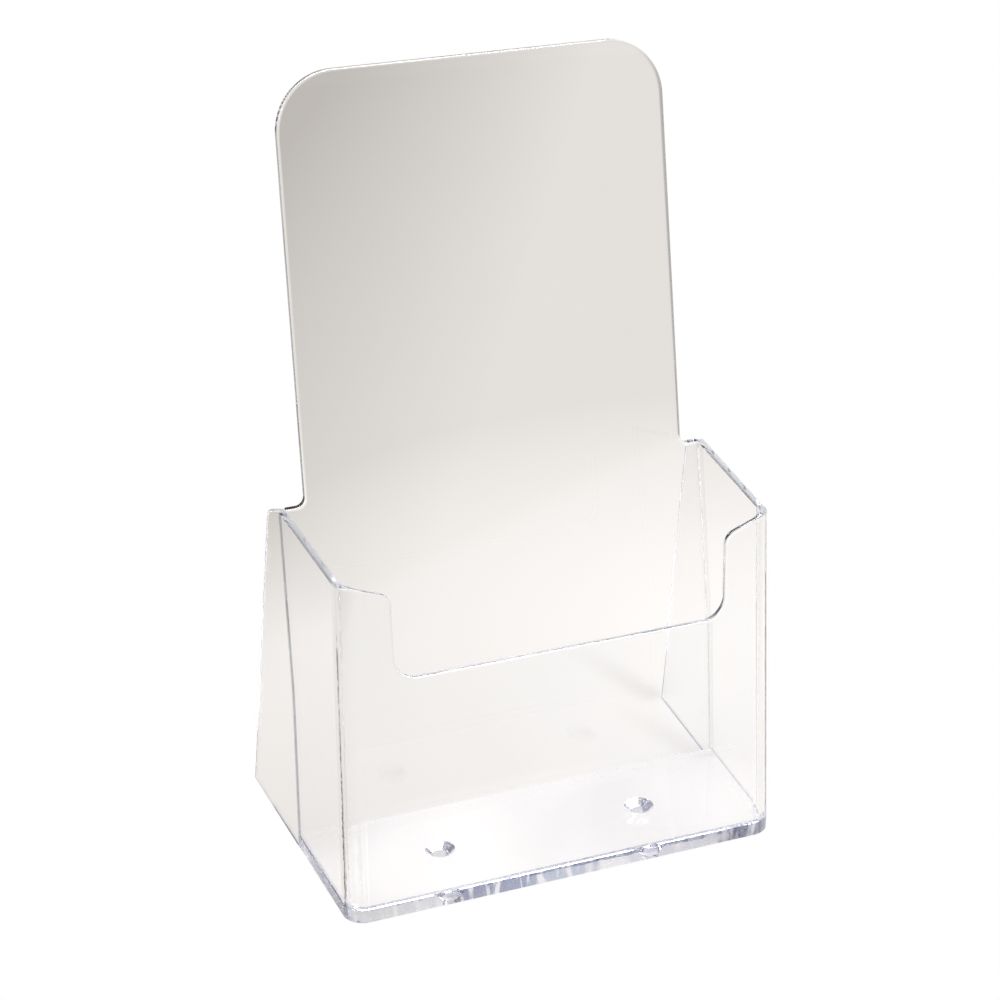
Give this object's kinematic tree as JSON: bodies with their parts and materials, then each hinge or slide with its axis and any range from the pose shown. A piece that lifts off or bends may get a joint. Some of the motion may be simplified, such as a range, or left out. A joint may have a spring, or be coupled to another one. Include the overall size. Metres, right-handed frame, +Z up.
{
  "type": "leaflet rack",
  "caption": "Clear plastic countertop leaflet rack: a pocket with a cut-out front, side walls that run back as legs, and a tall leaning back panel.",
  "frame": {"origin": "middle of the rack's footprint, on the surface it stands on", "axes": "+Z up, +Y towards the back, +X to the right of a person who faces the pocket"},
  "size_m": [0.1178, 0.0755, 0.1904],
  "materials": {
    "clear_plastic": "polished, transparent"
  },
  "bodies": {
    "root": {"base_plate": "clear_plastic", "front_panel": "clear_plastic", "left_side_panel": "clear_plastic", "right_side_panel": "clear_plastic", "back_panel": "clear_plastic"}
  },
  "joints": []
}
